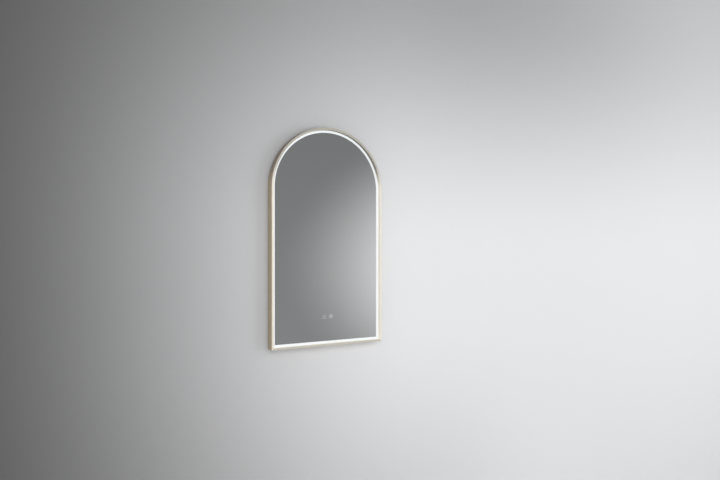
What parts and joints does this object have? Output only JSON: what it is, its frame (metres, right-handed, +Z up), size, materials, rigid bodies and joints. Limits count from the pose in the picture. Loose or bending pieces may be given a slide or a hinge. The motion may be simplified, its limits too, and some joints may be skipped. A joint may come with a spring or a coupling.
{
  "type": "lighted bathroom mirror",
  "caption": "Arch-topped wall mirror: a deep slim metal frame round a glowing band and recessed glass, with touch keys, a heated back, a wiring hatch and a wall rail that it lifts off.",
  "frame": {"origin": "middle of the line through the two wall-screw holes of the rail, on the wall's face; the round top has its centre there too", "axes": "+X to the right as seen from the room, +Y into the wall, +Z up along the mirror's height"},
  "size_m": [0.5, 0.045, 0.8999],
  "materials": {
    "frame_champagne": "brushed champagne anodised",
    "key_zinc": "die-cast",
    "opal_diffuser": "opal, lit from behind",
    "mirror_glass": "polished silvered glass",
    "backing_film": "adhesive film",
    "heating_film": "printed heating film",
    "foam_tape": "foam",
    "tray_aluminium": "mill finish",
    "cover_steel": "pale grey powder coat",
    "bracket_steel": "zinc plated",
    "screw_zinc": "bright zinc plated",
    "black_rubber": "matt",
    "black_foam": "foam",
    "white_plastic": "moulded",
    "black_plastic": "moulded",
    "circuit_board": "solder mask",
    "white_board": "white solder mask",
    "lamp_lens": "clear-white",
    "ferrite_core": "ferrite",
    "capacitor_sleeve": "shrink sleeve",
    "brass": "turned",
    "grey_lead": "flexible sheath",
    "white_lead": "flexible sheath",
    "earth_lead": "green and yellow insulation"
  },
  "bodies": {
    "rail": {"wall_rail": "bracket_steel"},
    "mirror_unit": {"frame_arch": "frame_champagne", "frame_bottom": "frame_champagne", "corner_key_left": "key_zinc", "corner_key_right": "key_zinc", "diffuser": "opal_diffuser", "mirror_glass": "mirror_glass", "safety_film": "backing_film", "demister_pad": "heating_film", "demister_terminals": "white_plastic", "glass_tapes": "foam_tape", "carrier_tray": "tray_aluminium", "back_cover": "cover_steel", "cover_screws": "screw_zinc", "hatch_gasket": "black_foam", "hatch_cover": "cover_steel", "hatch_screws": "screw_zinc", "hanger_bracket": "bracket_steel", "backing_bar": "bracket_steel", "hanger_screws": "screw_zinc", "wall_buffers": "black_rubber", "cable_grommet": "black_rubber", "led_strip": "white_board", "strip_plug": "white_plastic", "touch_gasket": "black_foam", "touch_board": "circuit_board", "touch_leds": "lamp_lens", "touch_cover": "black_plastic", "touch_connector": "white_plastic", "driver_base": "white_plastic", "driver_lid": "white_plastic", "driver_board": "circuit_board", "driver_transformer": "ferrite_core", "driver_capacitors": "capacitor_sleeve", "driver_screws": "screw_zinc", "control_case": "black_plastic", "control_lid": "black_plastic", "control_board": "circuit_board", "control_relay": "black_plastic", "terminal_block": "white_plastic", "terminal_clamps": "brass", "terminal_screws": "screw_zinc", "cable_clamp": "black_plastic", "clamp_screws": "screw_zinc", "earth_tag": "brass", "earth_screw": "screw_zinc", "mains_lead": "grey_lead", "earth_lead": "earth_lead", "driver_lead": "white_lead", "strip_lead": "white_lead", "touch_lead": "white_lead", "demister_lead": "white_lead", "lead_clips": "white_plastic"}
  },
  "joints": [
    {"name": "lift_off", "type": "slide", "parent": "rail", "child": "mirror_unit", "axis": [0, 0, 1], "range_m": [0, 0.012]}
  ]
}
